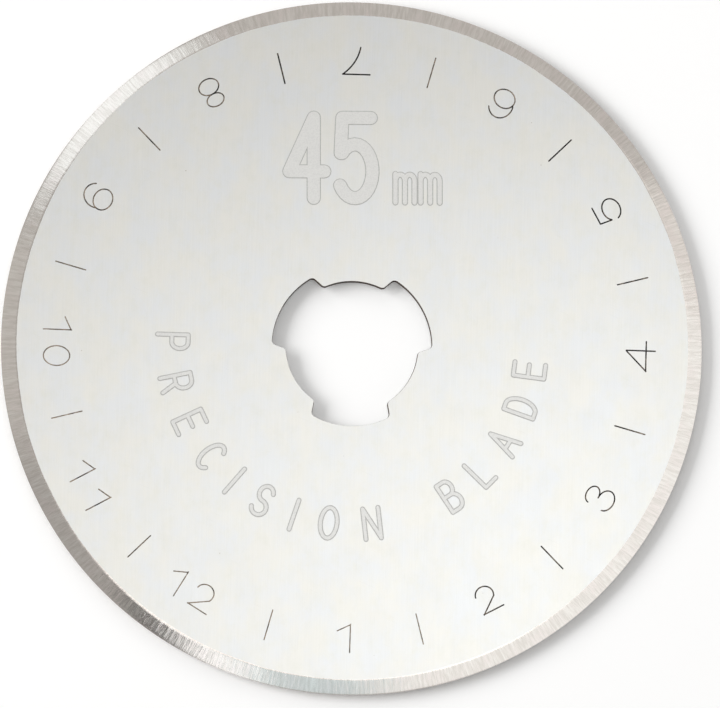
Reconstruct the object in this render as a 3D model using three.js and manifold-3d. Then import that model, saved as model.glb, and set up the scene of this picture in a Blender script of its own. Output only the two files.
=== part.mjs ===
// Rotary cutter blade: a ground steel disc with a three-lobed spindle hole and an engraved index ring.
// Millimetres, +Z along the spindle axis, origin at the middle of the disc.
// The engraved face looks along +Z, and numeral 1 and one lobe of the hole lie towards -Y.

import * as THREE from 'three';
import { mergeVertices } from 'three/addons/utils/BufferGeometryUtils.js';
import Module from 'manifold-3d';

// Disc
const bladeDiameter = 45;
const bladeThickness = 0.3;
const bevelWidth = 0.9; // radial width of the ground bevel, the same on both faces
const rimSegments = 180;

// Spindle hole: three lands that centre the blade, and three lobes that let the drive keys through
const landDiameter = 8.44;
const lobeDiameter = 10.24;
const lobeCount = 3;
const firstLobeAngle = -90; // degrees
const lobeRootHalfAngle = 33.2; // degrees, where a flank meets the land circle
const lobeCrownHalfAngle = 29.2; // degrees, where a flank meets the lobe circle
const landTipRadius = 0.33; // no more than half the lobes' depth is used, and the same for the corners
const lobeCornerRadius = 0.3;
const arcDivisions = 5; // half the number of chords in each arc of the hole's outline

// Engraved index ring
const indexCount = 12;
const firstIndexAngle = -90; // degrees, where numeral 1 stands
const indexInset = 2.9; // from the bevel's inner edge to the middle of the numerals and ticks
const indexOffset = new THREE.Vector2(-0.1, -0.06); // how far off the spindle axis the marking sits
const tickLength = 2;
const strokeWidth = 0.09;
const strokeDepth = 0.02;
const numeralHeight = 1.86;
const digitPitch = 2.1; // between the middles of a two-digit numeral
const strokeChords = 14; // chords in a curved stroke
const cutterOverlap = 0.05; // how far a cutter stands out of the face that it cuts

const degree = Math.PI / 180;
const bladeRadius = bladeDiameter / 2;
const flatRadius = bladeRadius - bevelWidth; // where the bevel begins
const halfThickness = bladeThickness / 2;
const landRadius = landDiameter / 2;
const lobeRadius = lobeDiameter / 2;
const indexRadius = flatRadius - indexInset;

const steel = new THREE.MeshStandardMaterial({ color: 0xd8d9d6, roughness: 0.35, metalness: 1 });

const wasm = await Module();
wasm.setup();

// ---- between three.js geometry and closed solids ----

function toSolid(geometry) {
  const bare = geometry.clone();
  bare.deleteAttribute('normal');
  bare.deleteAttribute('uv');
  const merged = mergeVertices(bare, 1e-5);
  return new wasm.Manifold(new wasm.Mesh({
    numProp: 3,
    vertProperties: new Float32Array(merged.attributes.position.array),
    triVerts: new Uint32Array(merged.index.array),
  }));
}

function toGeometry(solid) {
  const mesh = solid.getMesh();
  const geometry = new THREE.BufferGeometry();
  geometry.setAttribute('position', new THREE.BufferAttribute(mesh.vertProperties, 3));
  geometry.setIndex(new THREE.BufferAttribute(mesh.triVerts, 1));
  geometry.computeVertexNormals();
  return geometry;
}

// ---- disc ----

// The profile runs from the axis out along the lower face, over the cutting edge and back along the
// upper face.
function discGeometry() {
  const profile = [
    new THREE.Vector2(0, -halfThickness),
    new THREE.Vector2(flatRadius, -halfThickness),
    new THREE.Vector2(bladeRadius, 0),
    new THREE.Vector2(flatRadius, halfThickness),
    new THREE.Vector2(0, halfThickness),
  ];
  return new THREE.LatheGeometry(profile, rimSegments).rotateX(Math.PI / 2);
}

// ---- spindle hole ----

// A fillet of the given radius touches the flank line on one side (+1 is the steel's side) and a circle
// about the axis. Its centre is where the line moved sideways by the radius meets the circle that the
// centre can lie on.
function flankFillet(flank, radius, side, centreDistance) {
  const start = flank.point.clone().addScaledVector(flank.normal, side * radius);
  const along = start.dot(flank.direction);
  const reach = -along + Math.sqrt(along * along - start.lengthSq() + centreDistance * centreDistance);
  return start.addScaledVector(flank.direction, reach);
}

function onCircle(radius, angle) {
  return new THREE.Vector2(radius * Math.cos(angle), radius * Math.sin(angle));
}

// One lobe about the +X axis is land tip, lobe corner, crown, lobe corner, land tip. The lower flank is
// worked out and the upper one mirrors it. Each entry is an arc: centre, radius, start, end, clockwise.
function lobeArcs() {
  const filletRoom = (lobeRadius - landRadius) / 2;
  const tipRadius = Math.min(landTipRadius, filletRoom);
  const cornerRadius = Math.min(lobeCornerRadius, filletRoom);
  const root = onCircle(landRadius, -lobeRootHalfAngle * degree);
  const crown = onCircle(lobeRadius, -lobeCrownHalfAngle * degree);
  const direction = crown.clone().sub(root).normalize();
  const flank = { point: root, direction, normal: new THREE.Vector2(direction.y, -direction.x) };
  const tip = flankFillet(flank, tipRadius, 1, landRadius + tipRadius);
  const corner = flankFillet(flank, cornerRadius, -1, lobeRadius - cornerRadius);
  const flankAngle = flank.normal.angle();
  const tipArc = [tip, tipRadius, tip.angle() + Math.PI, flankAngle + Math.PI, true];
  const cornerArc = [corner, cornerRadius, flankAngle, corner.angle(), false];
  const crownHalf = 2 * Math.PI - corner.angle();
  const crownArc = [new THREE.Vector2(), lobeRadius, -crownHalf, crownHalf, false];
  const mirrored = ([centre, radius, start, end, clockwise]) =>
    [new THREE.Vector2(centre.x, -centre.y), radius, -end, -start, clockwise];
  return [tipArc, cornerArc, crownArc, mirrored(cornerArc), mirrored(tipArc)];
}

// The lobes are joined by the land arcs between the last tip of one and the first tip of the next.
function holeShape() {
  const arcs = lobeArcs();
  const tipAngle = 2 * Math.PI - arcs[0][0].angle();
  const pitch = 2 * Math.PI / lobeCount;
  const shape = new THREE.Shape();
  for (let lobe = 0; lobe < lobeCount; lobe++) {
    const turn = firstLobeAngle * degree + lobe * pitch;
    for (const [centre, radius, start, end, clockwise] of arcs) {
      const place = centre.clone().rotateAround(new THREE.Vector2(), turn);
      shape.absarc(place.x, place.y, radius, start + turn, end + turn, clockwise);
    }
    shape.absarc(0, 0, landRadius, turn + tipAngle, turn + pitch - tipAngle, false);
  }
  return shape;
}

function holeCutter() {
  const depth = bladeThickness + 2 * cutterOverlap;
  const geometry = new THREE.ExtrudeGeometry(holeShape(), {
    depth,
    bevelEnabled: false,
    curveSegments: arcDivisions,
  });
  return toSolid(geometry.translate(0, 0, -depth / 2));
}

// ---- engraved strokes ----

// Strokes are centre lines in units of half the numeral's height, +X along the line of writing and +Y
// towards its top.
function line(x0, y0, x1, y1) {
  return { points: [new THREE.Vector2(x0, y0), new THREE.Vector2(x1, y1)], closed: false };
}

function arc(x, y, radiusX, radiusY, start, end) {
  const clockwise = end < start;
  const curve = new THREE.EllipseCurve(x, y, radiusX, radiusY, start * degree, end * degree, clockwise);
  return { points: curve.getPoints(strokeChords), closed: false };
}

function oval(x, y, radiusX, radiusY) {
  const curve = new THREE.EllipseCurve(x, y, radiusX, radiusY);
  return { points: curve.getPoints(strokeChords * 2).slice(0, -1), closed: true };
}

function bow(x0, y0, controlX, controlY, x1, y1) {
  const ends = [[x0, y0], [controlX, controlY], [x1, y1]].map(([x, y]) => new THREE.Vector2(x, y));
  return { points: new THREE.QuadraticBezierCurve(...ends).getPoints(strokeChords), closed: false };
}

const digitStrokes = {
  0: [oval(0, 0, 0.69, 0.91)],
  1: [line(-0.46, 0.52, 0.4, 0.94), line(0.44, 1, 0.42, -0.96)],
  2: [
    arc(-0.09, 0.33, 0.64, 0.6, 170, -28),
    line(0.49, 0.03, -0.76, -0.88),
    line(-0.77, -0.86, 0.76, -0.89),
  ],
  3: [arc(-0.09, 0.56, 0.62, 0.44, 178, -90), arc(0, -0.44, 0.74, 0.56, 97, -172)],
  4: [line(0.39, 1, -1.03, -0.38), line(-1.03, -0.36, 1.06, -0.37), line(0.42, 1, 0.4, -1)],
  5: [
    line(-0.54, 0.89, 0.71, 0.88),
    line(-0.54, 0.89, -0.66, 0.05),
    arc(0.02, -0.27, 0.77, 0.62, 148, -167),
  ],
  6: [oval(0.06, -0.39, 0.75, 0.65), arc(0.04, 0.13, 0.82, 0.91, 32, 201)],
  7: [line(-0.94, 0.95, 0.94, 0.95), bow(0.94, 0.95, -0.05, 0.2, -0.27, -0.95)],
  8: [oval(0, 0.56, 0.62, 0.45), oval(-0.01, -0.45, 0.72, 0.56)],
  9: [oval(-0.03, 0.38, 0.76, 0.65), arc(-0.04, -0.12, 0.84, 0.91, 212, 381)],
};

// The marking is set by hand, so each numeral stands a little off its even place: first along its line of
// writing, then away from the spindle.
const numeralNudges = {
  1: [0, 0.11],
  2: [-0.06, -0.27],
  3: [0.1, 0],
  4: [-0.05, -0.03],
  5: [-0.1, 0.17],
  6: [-0.11, 0.02],
  8: [-0.14, 0.1],
  9: [0.12, 0.19],
  10: [-0.02, 0.12],
  11: [-0.26, 0.36],
  12: [-0.65, 0.05],
};

// An open stroke runs half its width past both ends, so that strokes that meet overlap.
function lengthened(points) {
  const reach = (end, inner) => end.clone().add(end.clone().sub(inner).setLength(strokeWidth / 2));
  const middle = points.slice(1, -1);
  return [reach(points[0], points[1]), ...middle, reach(points.at(-1), points.at(-2))];
}

// The two edges of a stroke are its centre line moved half the stroke's width to either side.
function strokeShape(stroke) {
  const { closed } = stroke;
  const points = closed ? stroke.points : lengthened(stroke.points);
  const last = points.length - 1;
  const edge = (side) => points.map((point, i) => {
    const before = closed ? points[(i + last) % (last + 1)] : points[Math.max(i - 1, 0)];
    const after = closed ? points[(i + 1) % (last + 1)] : points[Math.min(i + 1, last)];
    const along = after.clone().sub(before).normalize();
    return new THREE.Vector2(point.x - side * along.y, point.y + side * along.x);
  });
  const left = edge(strokeWidth / 2);
  const right = edge(-strokeWidth / 2);
  if (!closed) return new THREE.Shape([...right, ...left.reverse()]);
  const ring = new THREE.Shape(right);
  ring.holes.push(new THREE.Path(left));
  return ring;
}

// A stroke is cut with its top towards the spindle, at an angle on the index ring. The shift moves it
// along the line of writing and then away from the spindle.
function strokeCutter(stroke, angle, [along, outward]) {
  const turn = angle * degree;
  const middle = onCircle(indexRadius + outward, turn).add(indexOffset);
  const geometry = new THREE.ExtrudeGeometry(strokeShape(stroke), {
    depth: strokeDepth + cutterOverlap,
    bevelEnabled: false,
  });
  geometry.translate(along, 0, halfThickness - strokeDepth);
  geometry.rotateZ(turn + Math.PI / 2);
  return toSolid(geometry.translate(middle.x, middle.y, 0));
}

function digitCutters(digit, angle, shift) {
  return digitStrokes[digit].map((stroke) => {
    const points = stroke.points.map((point) => point.clone().multiplyScalar(numeralHeight / 2));
    return strokeCutter({ ...stroke, points }, angle, shift);
  });
}

function numeralCutters(value, angle) {
  const digits = String(value).split('');
  const [along, outward] = numeralNudges[value] ?? [0, 0];
  const first = along - digitPitch * (digits.length - 1) / 2;
  return digits.flatMap((digit, i) => digitCutters(digit, angle, [first + i * digitPitch, outward]));
}

function tickCutter(angle) {
  return strokeCutter(line(0, -tickLength / 2, 0, tickLength / 2), angle, [0, 0]);
}

// The numerals count up anticlockwise, with a tick midway to the next one.
function indexCutters() {
  const step = 360 / indexCount;
  const cutters = [];
  for (let i = 0; i < indexCount; i++) {
    const angle = firstIndexAngle + i * step;
    cutters.push(...numeralCutters(i + 1, angle), tickCutter(angle + step / 2));
  }
  return cutters;
}

// ---- the blade ----

function buildBlade() {
  let solid = toSolid(discGeometry()).subtract(holeCutter());
  for (const cutter of indexCutters()) solid = solid.subtract(cutter);
  const mesh = new THREE.Mesh(toGeometry(solid), steel);
  mesh.name = 'blade';
  return mesh;
}

const group = new THREE.Group();
group.add(buildBlade());

export default group;
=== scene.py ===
# Rotary cutter blade: a ground steel disc with a lobed spindle hole, laser numerals and frosted lettering.
# Shapes are worked out in millimetres in the blade's own frame and put into the mesh in metres.
import math

import bpy
import numpy as np
from mathutils import Matrix, Vector
from mathutils.geometry import delaunay_2d_cdt


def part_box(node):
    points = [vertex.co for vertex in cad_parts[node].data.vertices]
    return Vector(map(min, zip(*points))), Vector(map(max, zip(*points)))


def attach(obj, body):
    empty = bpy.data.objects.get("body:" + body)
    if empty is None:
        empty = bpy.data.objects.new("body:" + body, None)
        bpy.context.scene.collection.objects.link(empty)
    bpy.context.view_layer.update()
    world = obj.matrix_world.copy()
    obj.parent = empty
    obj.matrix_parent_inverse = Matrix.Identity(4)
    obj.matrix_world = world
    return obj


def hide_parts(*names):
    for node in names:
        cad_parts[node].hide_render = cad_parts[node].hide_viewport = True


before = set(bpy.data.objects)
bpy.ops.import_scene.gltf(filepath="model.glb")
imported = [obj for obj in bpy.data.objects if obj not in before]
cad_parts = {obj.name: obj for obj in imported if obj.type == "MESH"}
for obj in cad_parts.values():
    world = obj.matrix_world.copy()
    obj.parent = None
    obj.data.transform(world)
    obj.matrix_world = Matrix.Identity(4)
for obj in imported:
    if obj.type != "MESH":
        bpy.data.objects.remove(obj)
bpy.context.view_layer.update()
print("frame loaded")

millimetre = 0.001
bladeLow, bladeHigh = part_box("blade")
rimRadius = bladeHigh.x / millimetre
faceHeight = bladeHigh.z / millimetre

camera = {
    "distance": 0.8,  # metres from the point it looks at
    "tilt": 9.1,  # degrees off the spindle axis
    "tiltTowards": -103.35,  # degrees round the axis from +X
    "roll": 1.25,  # degrees that the top of the view is turned, anticlockwise
    "fieldWidth": 46.2,  # mm that the view is wide at that point
    "lookAt": (0.54, -0.42),  # mm from the spindle axis
    "sensorWidth": 36,
    "clip": (0.01, 20),  # metres
}


def addCamera(values):
    tilt, towards, roll = (math.radians(values[name]) for name in ("tilt", "tiltTowards", "roll"))
    back = Vector((math.sin(tilt) * math.cos(towards), math.sin(tilt) * math.sin(towards), math.cos(tilt)))
    right = Vector((-math.sin(roll), math.cos(roll), 0)).cross(back).normalized()
    target = Vector((*values["lookAt"], 0)) * millimetre
    data = bpy.data.cameras.new("camera")
    data.sensor_width = values["sensorWidth"]
    data.lens = values["sensorWidth"] * values["distance"] / (values["fieldWidth"] * millimetre)
    data.clip_start, data.clip_end = values["clip"]
    item = bpy.data.objects.new("camera", data)
    turn = Matrix((right, back.cross(right), back)).transposed().to_4x4()
    item.matrix_world = Matrix.Translation(target + back * values["distance"]) @ turn
    bpy.context.scene.collection.objects.link(item)
    bpy.context.scene.camera = item


addCamera(camera)

studio = {
    "worldRadiance": 0.42,
    "worldTint": (1.0, 0.985, 0.965),
    "floorSize": 6.0,  # metres
    "floorGap": 0.42,  # mm under the blade
    "floorColour": (0.93, 0.93, 0.93),
    "floorGlow": 0.05,
    "cardRoughness": 0.9,
    "cardSpecular": 0.1,
    # centre in metres, then width and height, then radiance and tint
    "panels": {
        "overheadBox": ((0.0685, -0.0085, 0.2), 0.107, 0.115, 0.63, (0.955, 0.985, 1)),
        "middleBox": ((0.001, 0.005, 0.198), 0.08, 0.072, 0.9, (1, 1, 0.99)),
        "coolCard": ((-0.001, -0.05, 0.2), 0.032, 0.032, 0.42, (0.62, 0.88, 1)),
        "flashCard": ((-0.0256, -0.049, 0.2), 0.0168, 0.034, 0.98, (0.92, 0.96, 1)),
        "upperLeftCard": ((-0.057, 0.095, 0.2), 0.042, 0.05, 0.78, (0.88, 0.95, 1)),
        "upperRightCard": ((0.085, 0.11, 0.202), 0.24, 0.12, 0.14, (1, 0.97, 0.95)),
        "rightCard": ((0.095, 0.066, 0.198), 0.05, 0.038, 0.27, (1, 0.99, 0.98)),
        "lowLeftCard": ((-0.085, 0.035, 0.2), 0.05, 0.06, 0.15, (1, 0.97, 0.93)),
        "leftBox": ((-0.87, 0.15, 0.45), 0.72, 0.5, 9.2, (1, 1, 1)),
        "backBox": ((-0.12, 0.9, 0.42), 0.55, 0.55, 1.8, (1, 1, 1)),
    },
    # a black card: centre, width and height in metres, then colour
    "flag": ((-0.0404, -0.0435, 0.2), 0.0122, 0.026, (0.01, 0.01, 0.01)),
}


def addPanel(name, centre, width, height, radiance, tint):  # a soft box that faces down, or faces the blade
    data = bpy.data.lights.new(name, "AREA")
    data.shape = "RECTANGLE"
    data.size, data.size_y = width, height
    data.energy = radiance * math.pi * width * height
    data.color = tint
    item = bpy.data.objects.new(name, data)
    item.location = centre
    item.rotation_mode = "QUATERNION"
    if centre[0] ** 2 + centre[1] ** 2 > centre[2] ** 2:
        item.rotation_quaternion = Vector(centre).to_track_quat("Z", "Y")
    item.visible_camera = False
    bpy.context.scene.collection.objects.link(item)


def addCard(name, centre, width, height, colour):  # a level card of one colour
    x, y, z = centre
    w, h = width / 2, height / 2
    data = bpy.data.meshes.new(name)
    corners = [(x - w, y - h, z), (x + w, y - h, z), (x + w, y + h, z), (x - w, y + h, z)]
    data.from_pydata(corners, [], [(0, 1, 2, 3)])
    material = bpy.data.materials.new(name)
    material.use_nodes = True
    shader = material.node_tree.nodes["Principled BSDF"]
    shader.inputs["Base Color"].default_value = (*colour, 1)
    shader.inputs["Roughness"].default_value = studio["cardRoughness"]
    shader.inputs["Specular IOR Level"].default_value = studio["cardSpecular"]
    data.materials.append(material)
    card = bpy.data.objects.new(name, data)
    bpy.context.scene.collection.objects.link(card)
    return card, shader


def addStudio(values):
    for name, settings in values["panels"].items():
        addPanel(name, *settings)
    world = bpy.data.worlds.new("studio")
    world.use_nodes = True
    background = world.node_tree.nodes["Background"]
    background.inputs["Color"].default_value = (*values["worldTint"], 1)
    background.inputs["Strength"].default_value = values["worldRadiance"]
    bpy.context.scene.world = world
    bpy.context.scene.view_settings.view_transform = "Standard"
    size = values["floorSize"]
    height = bladeLow.z - values["floorGap"] * millimetre
    shader = addCard("floor", (0, 0, height), size, size, values["floorColour"])[1]
    shader.inputs["Emission Color"].default_value = (1, 1, 1, 1)
    shader.inputs["Emission Strength"].default_value = values["floorGlow"]
    addCard("blackFlag", *values["flag"])[0].visible_camera = False


addStudio(studio)
print("studio set")

hole = {
    "landRadius": 4.22,
    "lobeRadius": 5.12,
    "lobes": 3,
    "firstLobe": -90,  # degrees
    "rootHalfAngle": 33.2,  # degrees, where a flank meets the land circle
    "crownHalfAngle": 29.2,  # degrees, where a flank meets the lobe circle
    "tipRadius": 0.33,
    "cornerRadius": 0.3,
    "stepLength": 0.07,  # mm between the outline's points
}


def onCircle(radius, angle):
    return np.stack([radius * np.cos(angle), radius * np.sin(angle)], -1)


def turned(points, angle):  # turned about the origin, x cos - y sin and x sin + y cos, by degrees
    c, s = math.cos(math.radians(angle)), math.sin(math.radians(angle))
    return points @ np.array([[c, s], [-s, c]])


# A fillet's centre is where the flank moved sideways by the radius meets the circle it can lie on.
def filletCentre(point, direction, normal, side, radius, reach):
    start = point + side * radius * normal
    along = start @ direction
    return start + direction * (math.sqrt(along * along - start @ start + reach * reach) - along)


# An arc is its centre plus radius times (cos a, sin a), with a in even steps and its end left out.
def arcPoints(centre, radius, start, end, step):
    count = max(3, round(abs(end - start) * radius / step))
    return centre + onCircle(radius, np.linspace(start, end, count, endpoint=False))


# One lobe is tip, corner, crown, corner and tip arcs about +X, mirrored from its lower half. The lobes
# are turned round the axis, and land arcs join them.
def holeOutline(values):
    land, crown = values["landRadius"], values["lobeRadius"]
    root = onCircle(land, -math.radians(values["rootHalfAngle"]))
    top = onCircle(crown, -math.radians(values["crownHalfAngle"]))
    direction = (top - root) / np.linalg.norm(top - root)
    normal = np.array([direction[1], -direction[0]])
    tipRadius, cornerRadius = values["tipRadius"], values["cornerRadius"]
    tip = filletCentre(root, direction, normal, 1, tipRadius, land + tipRadius)
    corner = filletCentre(root, direction, normal, -1, cornerRadius, crown - cornerRadius)
    flank = math.atan2(normal[1], normal[0])
    tipAngle, cornerAngle = math.atan2(tip[1], tip[0]), math.atan2(corner[1], corner[0])
    step = values["stepLength"]
    lower = [
        arcPoints(tip, tipRadius, tipAngle + math.pi, flank + math.pi, step / 2),
        arcPoints(corner, cornerRadius, flank, cornerAngle, step / 2),
    ]
    upper = np.concatenate([*lower, onCircle(crown, np.array([cornerAngle]))])[::-1] * (1, -1)
    middle = arcPoints(np.zeros(2), crown, cornerAngle, -cornerAngle, step)
    pitch = 2 * math.pi / values["lobes"]
    bridge = arcPoints(np.zeros(2), land, -tipAngle, pitch + tipAngle, step)[1:]
    lobe = np.concatenate([*lower, middle, upper, bridge])
    parts = [turned(lobe, values["firstLobe"] + 360 / values["lobes"] * i) for i in range(values["lobes"])]
    return np.concatenate(parts)


outline = holeOutline(hole)
after, before = np.roll(outline, -1, 0), np.roll(outline, 1, 0)
along = (after - before) / np.linalg.norm(after - before, axis=1)[:, None]
intoSteel = np.stack([along[:, 1], -along[:, 0]], -1)  # across the outline, away from the hole
print("spindle hole outline:", len(outline), "points")


# Random knots round a circle with cosine blends between them, so the row closes on itself.
def ringNoise(seed, knots, samples, rows=1):
    values = np.random.default_rng(seed).uniform(-1, 1, (rows, knots))
    place = np.arange(samples) * knots / samples
    low = place.astype(int)
    blend = 0.5 - 0.5 * np.cos(np.pi * (place - low))
    return values[:, low % knots] * (1 - blend) + values[:, (low + 1) % knots] * blend


rim = {
    "steps": 2880,  # round the rim
    "bevelWidth": 0.94,  # mm, the same on both faces
    "offCentre": (0.055, 0.055),  # mm that the grind's inner boundary lies off the spindle axis
    "microWidth": 0.05,  # mm, the second bevel at the very edge
    "microHeight": 0.0092,  # mm, where it begins above the middle plane
    "rows": 5,  # over the bevel's width
    "raggedness": 0.022,  # mm that the grind's inner boundary wanders
    "grooveDepth": 0.0005,  # mm, the grinding marks
    "seeds": (11, 21),  # of the front's and the back's noise
    # knots round the rim and strength of each noise
    "wander": ((90, 0.6), (420, 0.3)),
    "chatter": (960, 0.4),
    "chatterFrom": 2.3,  # radians, where the chatter is weakest
    "marks": ((960, 0.35), (620, 1), (260, 0.6)),
}


# The rim is a profile carried round the axis: radius and height at each row, with the grind's inner
# boundary and the grinding marks added as noise that depends on the angle. The chatter's strength is
# 0.4 + 0.6 sin^2 a, and the marks fade out at the first and the last row.
def rimGrid(values):
    steps = values["steps"]
    angle = np.arange(steps) * 2 * math.pi / steps
    offX, offY = values["offCentre"]
    shoulder = rimRadius - values["bevelWidth"] + offX * np.cos(angle) + offY * np.sin(angle)
    microStart = rimRadius - values["microWidth"]
    sides = []
    for side, seed in zip((1, -1), values["seeds"]):
        wander = 0 * angle
        for i, (knots, strength) in enumerate(values["wander"]):
            wander += strength * ringNoise(seed + i, knots, steps)[0]
        knots, strength = values["chatter"]
        chatter = strength * ringNoise(seed + 2, knots, steps)[0]
        wander += chatter * (0.4 + 0.6 * np.sin(angle - values["chatterFrom"]) ** 2)
        inner = shoulder + values["raggedness"] * wander
        share = np.linspace(0, 1, values["rows"] + 1)[:, None]
        radius = inner + share * (microStart - inner)
        height = faceHeight + share * (values["microHeight"] - faceHeight)
        marks = 0 * height
        for i, (knots, strength) in enumerate(values["marks"]):
            rows = 1 if i else len(share)  # the first kind differs from row to row
            marks = marks + strength * ringNoise(seed + 3 + i, knots, steps, rows)
        height = height - values["grooveDepth"] * (1 + marks) * np.minimum(1, 6 * share * (1.001 - share))
        sides.append(np.stack([radius * np.cos(angle), radius * np.sin(angle), side * height], -1))
    edge = np.stack([rimRadius * np.cos(angle), rimRadius * np.sin(angle), 0 * angle], -1)[None]
    return np.concatenate([sides[0], edge, sides[1][::-1]])


wall = {
    "roll": 0.05,  # mm, the rounding at the back, where the punch went in
    "rollRows": 5,
    "burnished": 0.1,  # mm of smooth wall above the rounding
    "fractureLean": 0.03,  # mm that the torn part of the wall opens towards the front, on average
    "leanTowards": 65,  # degrees, where the punch had the widest gap and the wall leans twice that
    "frontBreak": 0.01,  # mm, the deburred front corner
    "tear": 0.005,  # mm that the torn part is rough
    "tornRows": 4,
    "seed": 31,
}


# The wall is a profile carried round the outline, from the front to the back: each row is moved into the
# steel by its share of the lean plus its own offset, and stands at its own height. The lean is its average
# times 1 + cos a, with a counted from where the gap was widest. The torn rows get noise.
def holeGrid(values):
    count = len(outline)
    corner = values["frontBreak"]
    facing = np.arctan2(intoSteel[:, 1], intoSteel[:, 0]) - math.radians(values["leanTowards"])
    lean = values["fractureLean"] * (1 + np.cos(facing))
    quarter = np.linspace(0, math.pi / 2, values["rollRows"])
    rollTop = values["roll"] - faceHeight
    tornEnd, tornTop = rollTop + values["burnished"], faceHeight - corner
    torn = np.linspace(0, 1, values["tornRows"])
    rollOffsets = values["roll"] * (1 - np.cos(quarter))
    rollHeights = rollTop - values["roll"] * np.sin(quarter)
    share = np.concatenate([[1], 1 - torn, 0 * quarter])  # of the lean, at each row
    fixed = np.concatenate([[corner], 0 * torn, rollOffsets])
    heights = np.concatenate([[faceHeight], tornTop + torn * (tornEnd - tornTop), rollHeights])
    rows = len(heights)
    rough = np.abs(ringNoise(values["seed"], count // 2, count, rows)) * values["tear"]
    rough[0] = 0
    rough[len(torn):] = 0
    offset = share[:, None] * lean + fixed[:, None] + rough
    flat = outline[None] + offset[..., None] * intoSteel[None]
    return np.concatenate([flat, np.broadcast_to(heights[:, None, None], (rows, count, 1))], -1)


digitUnits = 0.93  # mm, half a numeral's height
numerals = {
    "first": -90,  # degrees, where numeral 1 stands
    "count": 12,
    "radius": 18.7,
    "offset": (-0.1, -0.06),  # mm off the spindle axis
    "pitch": 2.1,
    "tickLength": 2,
    "halfWidth": 0.045,
    "floorHalfWidth": 0.014,
    "depth": 0.013,
    "widthShare": (0.78, 0.26),  # of the widths: unburnt, and added by a burn of 1
    # each numeral's shift along its line of writing and away from the spindle
    "nudges": {1: (0, 0.11), 2: (-0.06, -0.27), 3: (0.1, 0), 4: (-0.05, -0.03), 5: (-0.1, 0.17),
               6: (-0.11, 0.02), 8: (-0.14, 0.1), 9: (0.12, 0.19), 10: (-0.02, 0.12), 11: (-0.26, 0.36),
               12: (-0.65, 0.05)},
    # how strongly each numeral and the tick after it are burnt, from numeral 1 on
    "burn": (0.25, 0.95, 0.9, 1.0, 1.1, 0.7, 1.25, 0.75, 0.65, 0.4, 0.5, 0.35),
}
lettering = {
    "words": (("PRECISION", 228.75, 1.42), ("BLADE", 329.25, 1.2)),  # text, middle in degrees, gap in mm
    "radius": 11.5,
    "units": 0.99,  # mm, half a letter's height between its lines' middles
    "halfWidth": 0.165,
    "fillHalfWidth": 0.1,
    "depth": 0.005,
}
sizeMark = {
    "centre": (0.43, 12.31),
    "turn": 1.25,  # degrees
    "digits": (("4", -3.62), ("5", -0.42)),  # text and how far its middle lies along the line
    "digitUnits": 2.62,
    "digitHalfWidth": 0.46,
    "letters": (("m", 2.72), ("m", 4.34)),
    "letterUnits": 0.93,
    "letterHalfWidth": 0.2,
    "border": 0.06,  # mm of outline round the frosted filling
    "depth": 0.005,
}


strokeDetail = {
    "arcStep": 13,  # degrees between an arc's points
    "bowPoints": 15,
    "capPoints": (5, 9),  # round a narrow and a wide stroke's end
    "wideFrom": 0.1,  # mm, half the width
    "justInside": 0.9995,  # share of a half width that still counts as inside
}


# Strokes are centre lines in units of half the glyph's height, with y towards its top.
def line(x0, y0, x1, y1):
    return np.array([(x0, y0), (x1, y1)], float), False


def arc(x, y, radiusX, radiusY, start, end):
    count = 3 + round(abs(end - start) / strokeDetail["arcStep"])
    angle = np.radians(np.linspace(start, end, count))
    return np.stack([x + radiusX * np.cos(angle), y + radiusY * np.sin(angle)], -1), False


def oval(x, y, radiusX, radiusY):
    return arc(x, y, radiusX, radiusY, 0, 360)[0][:-1], True


def bow(x0, y0, x1, y1, x2, y2):  # quadratic curve: (1-t)^2 a + 2t(1-t) b + t^2 c
    t = np.linspace(0, 1, strokeDetail["bowPoints"])[:, None]
    return (1 - t) ** 2 * (x0, y0) + 2 * t * (1 - t) * (x1, y1) + t * t * (x2, y2), False


glyphs = {
    "0": [oval(0, 0, 0.69, 0.91)],
    "1": [line(-0.46, 0.52, 0.4, 0.94), line(0.44, 1, 0.42, -0.96)],
    "2": [arc(-0.09, 0.33, 0.64, 0.6, 170, -28), line(0.49, 0.03, -0.76, -0.88),
          line(-0.77, -0.86, 0.76, -0.89)],
    "3": [arc(-0.09, 0.56, 0.62, 0.44, 178, -90), arc(0, -0.44, 0.74, 0.56, 97, -172)],
    "4": [line(0.39, 1, -1.03, -0.38), line(-1.03, -0.36, 1.06, -0.37), line(0.42, 1, 0.4, -1)],
    "5": [line(-0.54, 0.89, 0.71, 0.88), line(-0.54, 0.89, -0.66, 0.05),
          arc(0.02, -0.27, 0.77, 0.62, 148, -167)],
    "6": [oval(0.06, -0.39, 0.75, 0.65), arc(0.04, 0.13, 0.82, 0.91, 32, 201)],
    "7": [line(-0.94, 0.95, 0.94, 0.95), bow(0.94, 0.95, -0.05, 0.2, -0.27, -0.95)],
    "8": [oval(0, 0.56, 0.62, 0.45), oval(-0.01, -0.45, 0.72, 0.56)],
    "9": [oval(-0.03, 0.38, 0.76, 0.65), arc(-0.04, -0.12, 0.84, 0.91, 212, 381)],
}
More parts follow.
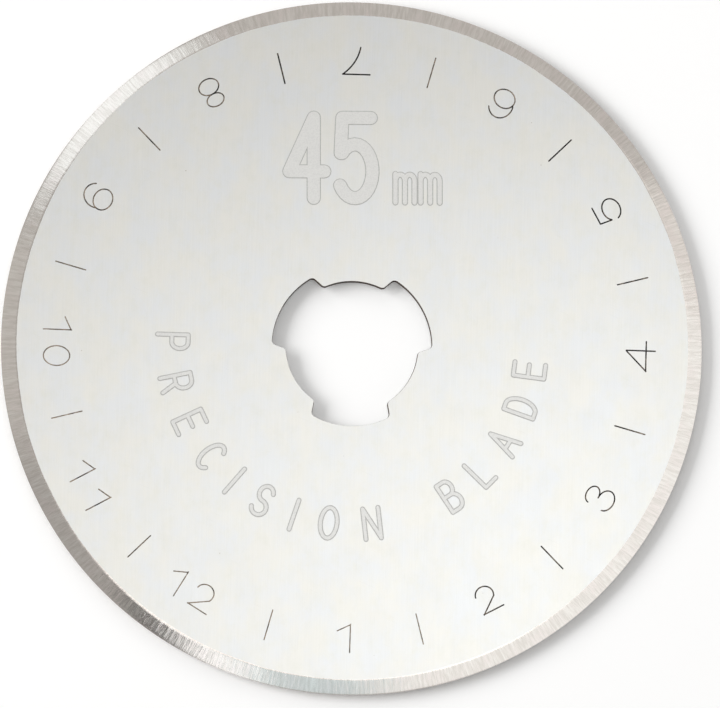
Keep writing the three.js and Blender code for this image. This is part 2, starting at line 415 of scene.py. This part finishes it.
narrowGlyphs = {  # half a width of 0.48
    "A": [line(-0.52, -1, 0, 1), line(0, 1, 0.52, -1), line(-0.34, -0.32, 0.34, -0.32)],
    "B": [line(-0.45, -1, -0.45, 1), line(-0.45, 1, 0.02, 1), arc(0.02, 0.53, 0.38, 0.47, 90, -90),
          line(0.02, 0.06, -0.45, 0.06), arc(0.05, -0.47, 0.44, 0.53, 90, -90), line(0.05, -1, -0.45, -1)],
    "C": [arc(0.03, 0, 0.52, 1, 48, 312)],
    "D": [line(-0.46, -1, -0.46, 1), line(-0.46, 1, -0.05, 1), arc(-0.05, 0, 0.55, 1, 90, -90),
          line(-0.05, -1, -0.46, -1)],
    "E": [line(-0.43, -1, -0.43, 1), line(-0.43, 1, 0.46, 1), line(-0.43, 0.05, 0.38, 0.05),
          line(-0.43, -1, 0.48, -1)],
    "I": [line(0, -1, 0, 1)],
    "L": [line(-0.42, 1, -0.42, -1), line(-0.42, -1, 0.48, -1)],
    "N": [line(-0.5, -1, -0.5, 1), line(-0.5, 1, 0.5, -1), line(0.5, -1, 0.5, 1)],
    "O": [oval(0, 0, 0.54, 1)],
    "P": [line(-0.45, -1, -0.45, 1), line(-0.45, 1, 0.04, 1), arc(0.04, 0.47, 0.42, 0.53, 90, -90),
          line(0.04, -0.06, -0.45, -0.06)],
    "R": [line(-0.46, -1, -0.46, 1), line(-0.46, 1, 0.04, 1), arc(0.04, 0.47, 0.42, 0.53, 90, -90),
          line(0.04, -0.06, -0.46, -0.06), line(0.06, -0.06, 0.5, -1)],
    "S": [arc(0, 0.49, 0.44, 0.51, 22, 270), arc(0, -0.51, 0.48, 0.49, 90, -162)],
    "4": [line(0.18, 1, -0.42, -0.34), line(-0.42, -0.34, 0.44, -0.34), line(0.18, 1, 0.18, -1)],
    "5": [line(-0.34, 1, 0.36, 1), line(-0.34, 1, -0.38, 0.12), arc(-0.03, -0.33, 0.43, 0.67, 138, -148)],
    "m": [line(-0.66, -1, -0.66, 1), arc(-0.33, 0.5, 0.33, 0.45, 180, 0), line(0, 0.5, 0, -1),
          arc(0.33, 0.5, 0.33, 0.45, 180, 0), line(0.66, 0.5, 0.66, -1)],
}


# A placed stroke is a centre line in the blade's frame with its half widths, its depth and how strongly it
# is burnt, which is 0 for frosted strokes.
def placed(stroke, units, shift, turn, at, widths, depth, burn):
    points, closed = stroke
    points = turned(points * units + shift, turn) + at
    return {"points": points, "closed": closed, "outer": widths[0], "inner": widths[1], "depth": depth,
            "burn": burn}


def numeralStrokes(values):
    strokes = []
    pitch = 360 / values["count"]
    unburnt, added = values["widthShare"]
    for number in range(1, values["count"] + 1):
        angle = values["first"] + pitch * (number - 1)
        burn = values["burn"][number - 1]
        share = unburnt + added * burn
        widths = (values["halfWidth"] * share, values["floorHalfWidth"] * share)
        along, outward = values["nudges"].get(number, (0, 0))
        digits = str(number)
        at = onCircle(values["radius"] + outward, math.radians(angle)) + values["offset"]
        for i, digit in enumerate(digits):
            shift = (along + values["pitch"] * (i - (len(digits) - 1) / 2), 0)
            strokes += [placed(stroke, digitUnits, shift, angle + 90, at, widths, values["depth"], burn)
                        for stroke in glyphs[digit]]
        middle = angle + pitch / 2
        at = onCircle(values["radius"], math.radians(middle)) + values["offset"]
        tick = line(0, -1, 0, 1)
        strokes.append(placed(tick, values["tickLength"] / 2, (0, 0), middle + 90, at, widths,
                              values["depth"], burn))
    return strokes


# Letters stand on a ring with their tops to the spindle, spaced by their own widths and an even gap.
def letterStrokes(values):
    strokes = []
    widths = (values["halfWidth"], values["fillHalfWidth"])
    for word, middle, gap in values["words"]:
        reach = [np.concatenate([s[0] for s in narrowGlyphs[c]])[:, 0] for c in word]
        width = np.array([np.ptp(x) * values["units"] + 2 * values["halfWidth"] for x in reach])
        centre = np.cumsum(width + gap) - width / 2
        angles = middle + np.degrees((centre - (centre[0] + centre[-1]) / 2) / values["radius"])
        for letter, angle in zip(word, angles):
            at = onCircle(values["radius"], math.radians(angle))
            strokes += [placed(stroke, values["units"], 0, angle + 90, at, widths, values["depth"], 0)
                        for stroke in narrowGlyphs[letter]]
    return strokes


def sizeStrokes(values):
    strokes = []
    base = -values["digitUnits"] - values["digitHalfWidth"]
    for part in ("digit", "letter"):
        units, half = values[part + "Units"], values[part + "HalfWidth"]
        for text, along in values[part + "s"]:
            shift = (along, base + units + half)
            strokes += [placed(stroke, units, shift, values["turn"], values["centre"],
                               (half, half - values["border"]), values["depth"], 0)
                        for stroke in narrowGlyphs[text]]
    return strokes


# The edge of a stroke is its centre line moved sideways, mitred where it bends: the mean of the two
# neighbouring normals over the cosine of half the bend. Open strokes get round ends.
def strokeEdges(stroke, half):
    points, closed = stroke["points"], stroke["closed"]
    ends = np.roll(points, -1, 0) if closed else points[1:]
    run = ends - (points if closed else points[:-1])
    run /= np.linalg.norm(run, axis=1)[:, None]
    normal = np.stack([-run[:, 1], run[:, 0]], -1)
    if closed:
        mean = normal + np.roll(normal, 1, 0)
    else:
        mean = np.concatenate([normal[:1], normal[:-1] + normal[1:], normal[-1:]])
    mean /= np.linalg.norm(mean, axis=1)[:, None]
    following = normal if closed else np.concatenate([normal, normal[-1:]])
    mitre = half * mean / (mean * following).sum(1)[:, None]
    if closed:
        return [points + mitre, points - mitre]
    caps = []
    for end, start in ((points[-1], normal[-1]), (points[0], -normal[0])):
        count = strokeDetail["capPoints"][half > strokeDetail["wideFrom"]]
        angle = math.atan2(start[1], start[0]) - np.linspace(0, math.pi, count)[1:-1]
        caps.append(end + onCircle(half, angle))
    return [np.concatenate([points + mitre, caps[0], (points - mitre)[::-1], caps[1]])]


# Each point's distance to a centre line: to its foot on every segment, kept between the ends.
def distanceTo(points, stroke):
    a = stroke["points"]
    b = np.roll(a, -1, 0) if stroke["closed"] else a[1:]
    a = a[: len(b)]
    run = b - a
    share = np.clip(((points[:, None] - a) * run).sum(2) / (run * run).sum(1), 0, 1)
    return np.linalg.norm(points[:, None] - a - share[..., None] * run, axis=2).min(1)


# the mesh's material numbers
zones = {"plain": 0, "laser": 1, "frostBorder": 2, "frostFill": 3, "bevel": 4, "wall": 5}


# The surface sinks from a stroke's edge to its floor in a straight slope. Where strokes cross, the
# deepest one counts.
def engraving(points, strokes):
    depth, burn = np.zeros(len(points)), np.zeros(len(points))
    zone = np.full(len(points), zones["plain"])
    share = strokeDetail["justInside"]
    for stroke in strokes:
        low, high = stroke["points"].min(0) - stroke["outer"], stroke["points"].max(0) + stroke["outer"]
        near = np.flatnonzero(((points >= low) & (points <= high)).all(1))
        distance = distanceTo(points[near], stroke)
        slope = (stroke["outer"] - distance) / (stroke["outer"] - stroke["inner"])
        depth[near] = np.maximum(depth[near], stroke["depth"] * np.clip(slope, 0, 1))
        inside = near[distance < stroke["outer"] * share]
        filled = near[distance < stroke["inner"] * share]
        if stroke["burn"]:
            zone[inside] = zones["laser"]
            burn[inside] = stroke["burn"]
        else:
            zone[inside] = np.maximum(zone[inside], zones["frostBorder"])
            zone[filled] = zones["frostFill"]
    return depth, zone, burn


# How far out a point lies as a share of a loop's edge in the same direction: the ray from the axis
# meets the edge from a to b where the cross products balance.
def radiusShare(points, loop):
    angle = np.arctan2(loop[:, 1], loop[:, 0])
    order = np.argsort(angle)
    sector = np.searchsorted(angle[order], np.arctan2(points[:, 1], points[:, 0]))
    a, b = loop[order[sector - 1]], loop[order[sector % len(loop)]]
    run = b - a
    return (points[:, 0] * run[:, 1] - points[:, 1] * run[:, 0]) / (a[:, 0] * b[:, 1] - a[:, 1] * b[:, 0])


mergeDistance = 1e-5  # mm


# A face is the ring between the shoulder and the hole, triangulated so that every edge of every stroke
# is kept. A triangle stays if its middle lies between the hole's radius and the shoulder's there.
def faceTriangles(outer, inner, strokes):
    loops = [outer, inner]
    for stroke in strokes:
        loops += strokeEdges(stroke, stroke["outer"]) + strokeEdges(stroke, stroke["inner"])
    starts = np.cumsum([0] + [len(loop) for loop in loops])
    links = [np.stack([np.arange(len(p)), (np.arange(len(p)) + 1) % len(p)], -1) + s
             for p, s in zip(loops, starts)]
    points = [Vector(p) for p in np.concatenate(loops).tolist()]
    found = delaunay_2d_cdt(points, np.concatenate(links).tolist(), [], 0, mergeDistance, True)
    flat = np.array([tuple(p) for p in found[0]])
    triangles = np.array(found[2])
    middle = flat[triangles].mean(1)
    keep = (radiusShare(middle, inner) > 1) & (radiusShare(middle, outer) < 1)
    source = np.array([ids[0] if ids else -1 for ids in found[3]])
    source[source >= starts[2]] = -1
    return flat, triangles[keep], source


def ringQuads(rows, columns, first, flip):
    i, j = np.meshgrid(np.arange(rows - 1), np.arange(columns), indexing="ij")
    k = (j + 1) % columns
    corners = [i * columns + j, (i + 1) * columns + j, (i + 1) * columns + k, i * columns + k]
    quads = np.stack(corners, -1).reshape(-1, 4) + first
    return quads[:, ::-1] if flip else quads


# The bake's map: faces are laid flat in square tiles, the marks in a tile of their own, and the bevels
# and the wall are unrolled in strips.
atlas = {
    "tile": 0.49,
    "strips": 8,  # for the rim
    "wallStrips": 2,
    "base": 0.02,  # the first strip's lower edge
    "stripHeight": 0.016,
    "stripPitch": 0.0225,
    "left": 0.505,
    "right": 0.995,
}


def flatMap(points, tileX, tileY):
    return points * atlas["tile"] / (2 * rimRadius) + (0.5 * tileX + 0.25, 0.5 * tileY + 0.25)


def stripMap(rows, columns, strips, base):
    i, j = np.meshgrid(np.arange(rows - 1), np.arange(columns), indexing="ij")
    perStrip = math.ceil(columns / strips)
    row, place = j // perStrip, j % perStrip
    width = (atlas["right"] - atlas["left"]) / perStrip
    u = atlas["left"] + place * width
    v = base + row * atlas["stripPitch"]
    step = atlas["stripHeight"] / (rows - 1)
    corners = [(u, v + i * step), (u, v + (i + 1) * step), (u + width, v + (i + 1) * step),
               (u + width, v + i * step)]
    return np.stack([np.stack(c, -1) for c in corners], 2).reshape(-1, 4, 2)


def buildBlade():
    strokes = numeralStrokes(numerals) + letterStrokes(lettering) + sizeStrokes(sizeMark)
    rimPoints, holePoints = rimGrid(rim), holeGrid(wall)
    rimRows, rimCount = rimPoints.shape[:2]
    holeRows, holeCount = holePoints.shape[:2]
    points = [rimPoints.reshape(-1, 3), holePoints.reshape(-1, 3)]
    holeFirst = len(points[0])
    total = holeFirst + len(points[1])
    quads = [ringQuads(rimRows, rimCount, 0, False), ringQuads(holeRows, holeCount, holeFirst, True)]
    wallBase = atlas["base"] + (atlas["strips"] + 1) * atlas["stripPitch"]
    quadMaps = [
        stripMap(rimRows, rimCount, atlas["strips"], atlas["base"]),
        stripMap(holeRows, holeCount, atlas["wallStrips"], wallBase)[:, ::-1],
    ]
    rimRow = np.repeat(np.arange(rimRows - 1), rimCount)
    holeRow = np.repeat(np.arange(holeRows - 1), holeCount)
    aboveRoll = holeRow < holeRows - wall["rollRows"]
    quadSlots = [np.full(len(rimRow), zones["bevel"]), np.where(aboveRoll, zones["wall"], zones["plain"])]
    # the second bevel keeps its corners
    smooth = [(rimRow < rim["rows"]) | (rimRow > rim["rows"] + 1), np.ones(len(holeRow), bool)]
    triangles, triangleMaps, triangleSlots = [], [], []
    burns = [np.zeros(len(rimRow) + len(holeRow))]
    for side, rimEnd, holeEnd, marks in ((1, 0, 0, strokes), (-1, rimRows - 1, holeRows - 1, [])):
        flat, found, source = faceTriangles(rimPoints[rimEnd, :, :2], holePoints[holeEnd, :, :2], marks)
        depth = engraving(flat, marks)[0]
        middle = flat[found].mean(1)
        zone, burn = engraving(middle, marks)[1:]
        number = np.where(source < rimCount, source + rimEnd * rimCount,
                          source - rimCount + holeFirst + holeEnd * holeCount)
        new = source < 0
        number[new] = total + np.arange(new.sum())
        total += new.sum()
        height = side * (faceHeight - depth[new])
        points.append(np.concatenate([flat[new], height[:, None]], 1))
        found = found if side > 0 else found[:, ::-1]
        triangles.append(number[found])
        plain = flatMap(flat[found], 0 if side > 0 else 1, 1)
        marked = flatMap(flat[found], 0, 0)
        triangleMaps.append(np.where((zone != zones["plain"])[:, None, None], marked, plain))
        triangleSlots.append(zone)
        burns.append(burn)
        smooth.append(np.zeros(len(zone), bool))
    return (np.concatenate(points), np.concatenate(quads), np.concatenate(triangles),
            np.concatenate(quadMaps), np.concatenate(triangleMaps),
            np.concatenate(quadSlots + triangleSlots), np.concatenate(smooth), np.concatenate(burns))


def makeMesh(name):
    points, quads, triangles, quadMaps, triangleMaps, slotOf, smooth, burns = buildBlade()
    mesh = bpy.data.meshes.new(name)
    mesh.vertices.add(len(points))
    mesh.vertices.foreach_set("co", (points * millimetre).ravel())
    corners = np.concatenate([quads.ravel(), triangles.ravel()])
    mesh.loops.add(len(corners))
    mesh.loops.foreach_set("vertex_index", corners)
    sizes = np.concatenate([np.full(len(quads), 4), np.full(len(triangles), 3)])
    mesh.polygons.add(len(sizes))
    mesh.polygons.foreach_set("loop_start", np.concatenate([[0], np.cumsum(sizes)[:-1]]))
    mesh.polygons.foreach_set("material_index", slotOf)
    mesh.update(calc_edges=True)
    mesh.polygons.foreach_set("use_smooth", smooth)
    mesh.attributes.new("burn", "FLOAT", "FACE").data.foreach_set("value", burns)
    layer = mesh.uv_layers.new(name="OFBake")
    uv = np.concatenate([quadMaps.reshape(-1, 2), triangleMaps.reshape(-1, 2)])
    layer.data.foreach_set("uv", uv.ravel())
    print("blade mesh:", len(points), "points,", len(quads) * 2 + len(triangles), "triangles")
    return mesh


def newMaterial(name, base, metallic, roughness):
    material = bpy.data.materials.new(name)
    material.use_nodes = True
    shader = material.node_tree.nodes["Principled BSDF"]
    shader.inputs["Base Color"].default_value = (*base, 1)
    shader.inputs["Metallic"].default_value = metallic
    shader.inputs["Roughness"].default_value = roughness
    return material, material.node_tree, shader


def addNode(tree, kind, inputs=None, **settings):  # a node with its settings and its inputs' values
    node = tree.nodes.new(kind)
    for name, value in settings.items():
        setattr(node, name, value)
    for name, value in (inputs or {}).items():
        if isinstance(value, bpy.types.NodeSocket):
            tree.links.new(value, node.inputs[name])
        else:
            node.inputs[name].default_value = value
    return node


# Noise whose grains measure size mm along x, y and z, after the pattern is turned about the axis.
def grain(tree, size, turn=0, detail=2.0, seed=0.0, spread=0.5):
    place = addNode(tree, "ShaderNodeTexCoord").outputs["Object"]
    if turn:
        place = addNode(tree, "ShaderNodeVectorRotate", {"Vector": place, "Angle": math.radians(turn)},
                        rotation_type="Z_AXIS").outputs["Vector"]
    scale = [1 / (s * millimetre) for s in size]
    place = addNode(tree, "ShaderNodeMapping", {"Vector": place, "Scale": scale, "Location": (seed,) * 3})
    return addNode(tree, "ShaderNodeTexNoise", {"Vector": place.outputs["Vector"], "Scale": 1.0,
                   "Detail": detail, "Roughness": spread}).outputs["Fac"]


def between(tree, value, low, high, start=0.0, end=1.0):  # value from low..high to start..end, kept inside
    return addNode(tree, "ShaderNodeMapRange", {"Value": value, "From Min": low, "From Max": high,
                   "To Min": start, "To Max": end}).outputs["Result"]


def blendColours(tree, share, first, second):
    node = addNode(tree, "ShaderNodeMix", data_type="RGBA")
    for socket, value in zip((node.inputs[0], node.inputs[6], node.inputs[7]), (share, first, second)):
        if isinstance(value, bpy.types.NodeSocket):
            tree.links.new(value, socket)
        else:
            socket.default_value = (*value, 1) if isinstance(value, tuple) else value
    return node.outputs[2]


def addBump(tree, shader, height, depth):  # depth in mm
    inputs = {"Height": height, "Distance": depth * millimetre, "Strength": 1.0}
    tree.links.new(addNode(tree, "ShaderNodeBump", inputs).outputs["Normal"], shader.inputs["Normal"])


# In the finishes below, a pattern's size is in mm, and its levels are what value of the noise becomes what.
rolled = {
    "warm": (0.80, 0.79, 0.75),
    "cool": (0.775, 0.785, 0.79),
    "stain": (0.75, 0.745, 0.685),
    "speck": (0.30, 0.24, 0.17),
    "roughness": 0.3,
    "drift": {"size": (1.6, 2.4, 1.6), "detail": 2, "seed": 5},
    "driftLevels": (0.3, 0.7, -0.006, 0.008),  # added to the roughness
    "cloud": {"size": (2.2, 3, 2.2), "detail": 5, "seed": 1, "spread": 0.6},
    "cloudLevels": (0.38, 0.62),
    "mottle": {"size": (0.8, 1.1, 0.8), "detail": 5, "seed": 3, "spread": 0.7},
    "mottleLevels": (0.48, 0.78, 0, 0.6),
    "rolling": {"size": (0.07, 3.5, 1), "detail": 3, "seed": 7, "spread": 0.6},  # runs along y
    "rollingLevels": (0.3, 0.7, 0.983, 1.014),
    "rollingDepth": 0.0012,  # mm
    "hair": {"size": (0.045, 2.6, 1), "detail": 1},
    "hairFamilies": ((2, 11), (-68, 23)),  # degrees that each is turned, and seed
    "hairLevels": (0.75, 0.79),
    "hairline": 0.05,  # how much darker a hairline scratch is
    "specks": {"size": (0.3, 0.3, 0.3), "detail": 1, "seed": 31},
    "speckLevels": (0.845, 0.875, 0, 0.7),
}


# Rolled steel is a cloudy tint with faint marks along y, two families of sparse hairlines where stretched
# noise crosses a high level, and a few specks.
def rolledSteel(values):
    material, tree, shader = newMaterial("rolledSteel", values["warm"], 1.0, values["roughness"])
    cloud = between(tree, grain(tree, **values["cloud"]), *values["cloudLevels"])
    colour = blendColours(tree, cloud, values["warm"], values["cool"])
    mottle = between(tree, grain(tree, **values["mottle"]), *values["mottleLevels"])
    colour = blendColours(tree, mottle, colour, values["stain"])
    rolling = grain(tree, **values["rolling"])
    shade = between(tree, rolling, *values["rollingLevels"])
    for turn, seed in values["hairFamilies"]:
        hair = between(tree, grain(tree, turn=turn, seed=seed, **values["hair"]), *values["hairLevels"])
        line = between(tree, hair, 0, 1, 1, 1 - values["hairline"])
        shade = addNode(tree, "ShaderNodeMath", {0: shade, 1: line}, operation="MULTIPLY").outputs["Value"]
    tone = addNode(tree, "ShaderNodeVectorMath", {0: colour, "Scale": shade}, operation="SCALE")
    speck = between(tree, grain(tree, **values["specks"]), *values["speckLevels"])
    colour = blendColours(tree, speck, tone.outputs["Vector"], values["speck"])
    tree.links.new(colour, shader.inputs["Base Color"])
    start, end, lowest, highest = values["driftLevels"]
    middle = values["roughness"]
    rough = between(tree, grain(tree, **values["drift"]), start, end, middle + lowest, middle + highest)
    tree.links.new(rough, shader.inputs["Roughness"])
    addBump(tree, shader, rolling, values["rollingDepth"])
    return material


laser = {
    "burnt": (0.008, 0.0065, 0.006),
    "scorched": (0.27, 0.21, 0.155),
    "bare": (0.5, 0.47, 0.43),  # steel that shows between the laser's pulses
    "roughness": 0.6,
    "specular": 0.2,
    "drift": {"size": (0.45, 0.45, 0.45), "detail": 4, "seed": 2},
    "driftLevels": (0.3, 0.7, -0.7, 0.5),  # added to the burn
    "pulses": {"size": (0.1, 0.1, 0.1), "detail": 2, "seed": 6, "spread": 0.6},
    "pulseLevels": (0.5, 0.68, 0, 0.75),
    "bareUpTo": 1.05,  # the burn at which no steel shows
    "pits": {"size": (0.03, 0.03, 0.03), "seed": 4},
    "pitDepth": 0.002,  # mm
}


# The line is as dark as its own burn value, which noise along it raises and lowers.
def laserLine(values):
    material, tree, shader = newMaterial("laserLine", values["burnt"], 0.0, values["roughness"])
    shader.inputs["Specular IOR Level"].default_value = values["specular"]
    burn = addNode(tree, "ShaderNodeAttribute", attribute_name="burn").outputs["Fac"]
    drift = between(tree, grain(tree, **values["drift"]), *values["driftLevels"])
    burn = addNode(tree, "ShaderNodeMath", {0: burn, 1: drift}, operation="ADD", use_clamp=True).outputs[0]
    colour = blendColours(tree, burn, values["scorched"], values["burnt"])
    pulses = between(tree, grain(tree, **values["pulses"]), *values["pulseLevels"])
    bare = addNode(tree, "ShaderNodeMath", {0: values["bareUpTo"], 1: burn}, operation="SUBTRACT",
                   use_clamp=True)
    bare = addNode(tree, "ShaderNodeMath", {0: bare.outputs[0], 1: pulses}, operation="MULTIPLY").outputs[0]
    tree.links.new(blendColours(tree, bare, colour, values["bare"]), shader.inputs["Base Color"])
    addBump(tree, shader, grain(tree, **values["pits"]), values["pitDepth"])
    return material


frost = {
    "border": (0.55, 0.545, 0.53),
    "borderDark": (0.44, 0.435, 0.42),
    "fill": (0.80, 0.795, 0.775),
    "fillDark": (0.72, 0.715, 0.70),
    "roughness": 0.38,
    "speckle": {"size": (0.09, 0.09, 0.09), "detail": 3, "seed": 6, "spread": 0.7},
    "speckleLevels": (0.42, 0.7),
    "etch": {"size": (0.04, 0.04, 0.04), "seed": 8},
    "etchDepth": 0.0012,  # mm
}


def frosted(name, light, dark, values):
    material, tree, shader = newMaterial(name, light, 1.0, values["roughness"])
    speckle = between(tree, grain(tree, **values["speckle"]), *values["speckleLevels"])
    tree.links.new(blendColours(tree, speckle, light, dark), shader.inputs["Base Color"])
    addBump(tree, shader, grain(tree, **values["etch"]), values["etchDepth"])
    return material


bevel = {
    "bright": (0.885, 0.845, 0.795),
    "dark": (0.765, 0.72, 0.67),
    "rose": (0.87, 0.805, 0.765),
    "roughness": 0.11,
    # pitch in mm round the rim, detail and seed of each kind of streak
    "tint": (1.3, 2, 15.3),
    "tintLevels": (0.4, 0.62),
    "tone": (0.17, 3, 1.7),
    "toneLevels": (0.36, 0.62),
    "marks": (0.075, 3, 8.3),
    "markLength": 1.1,  # mm
    "markDepth": 0.0025,  # mm
    "spread": 0.6,
}


# The marks are noise on a ring of the rim's own size, so they run outwards wherever they are.
def groundBevel(values):
    material, tree, shader = newMaterial("groundBevel", values["bright"], 1.0, values["roughness"])
    place = addNode(tree, "ShaderNodeTexCoord").outputs["Object"]
    flat = addNode(tree, "ShaderNodeVectorMath", {0: place, 1: (1, 1, 0)}, operation="MULTIPLY")
    reach = addNode(tree, "ShaderNodeVectorMath", {0: flat.outputs["Vector"]}, operation="LENGTH")
    ring = addNode(tree, "ShaderNodeVectorMath", {0: flat.outputs["Vector"]}, operation="NORMALIZE")
    lengths = 1 / (values["markLength"] * millimetre)
    radius = addNode(tree, "ShaderNodeMath", {0: reach.outputs["Value"], 1: lengths}, operation="MULTIPLY")
    lift = addNode(tree, "ShaderNodeCombineXYZ", {"Z": radius.outputs["Value"]}).outputs["Vector"]

    def streaks(pitch, detail, seed):
        scale = {0: ring.outputs["Vector"], "Scale": rimRadius / pitch}
        wide = addNode(tree, "ShaderNodeVectorMath", scale, operation="SCALE").outputs["Vector"]
        point = addNode(tree, "ShaderNodeVectorMath", {0: wide, 1: lift}, operation="ADD").outputs["Vector"]
        moved = {0: point, 1: (seed, seed, seed)}
        point = addNode(tree, "ShaderNodeVectorMath", moved, operation="ADD").outputs["Vector"]
        return addNode(tree, "ShaderNodeTexNoise", {"Vector": point, "Scale": 1.0, "Detail": detail,
                       "Roughness": values["spread"]}).outputs["Fac"]

    tint = between(tree, streaks(*values["tint"]), *values["tintLevels"])
    light = blendColours(tree, tint, values["bright"], values["rose"])
    tone = between(tree, streaks(*values["tone"]), *values["toneLevels"])
    tree.links.new(blendColours(tree, tone, values["dark"], light), shader.inputs["Base Color"])
    addBump(tree, shader, streaks(*values["marks"]), values["markDepth"])
    return material


# The hole's wall: dull torn steel with a near-black colour. The colour is partly the steel's own and partly
# painted shade, the dark line along the hole's edge.
wallWithPaintedShade = {
    "bright": (0.085, 0.06, 0.05),
    "dark": (0.02, 0.014, 0.012),
    "roughness": 0.6,
    "specular": 0.15,
    "drag": {"size": (0.08, 0.08, 0.6), "detail": 3, "seed": 1, "spread": 0.6},  # runs through the sheet
    "dragLevels": (0.38, 0.68),
    "scratches": {"size": (0.03, 0.03, 0.3), "seed": 2},
    "scratchDepth": 0.002,  # mm
}


def shearedWall(values):
    material, tree, shader = newMaterial("shearedWall", values["bright"], 0.0, values["roughness"])
    shader.inputs["Specular IOR Level"].default_value = values["specular"]
    drag = between(tree, grain(tree, **values["drag"]), *values["dragLevels"])
    # painted shade: both colours are near black, darker than torn steel is, so the wall reads as a dark
    # line
    tree.links.new(blendColours(tree, drag, values["bright"], values["dark"]), shader.inputs["Base Color"])
    addBump(tree, shader, grain(tree, **values["scratches"]), values["scratchDepth"])
    return material


mesh = makeMesh("groundBlade")
# in the order of the zones
for material in (rolledSteel(rolled), laserLine(laser),
                 frosted("frostBorder", frost["border"], frost["borderDark"], frost),
                 frosted("frostFill", frost["fill"], frost["fillDark"], frost),
                 groundBevel(bevel), shearedWall(wallWithPaintedShade)):
    mesh.materials.append(material)
blade = bpy.data.objects.new("groundBlade", mesh)
bpy.context.scene.collection.objects.link(blade)
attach(blade, "root")
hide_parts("blade")
print("blade finished")
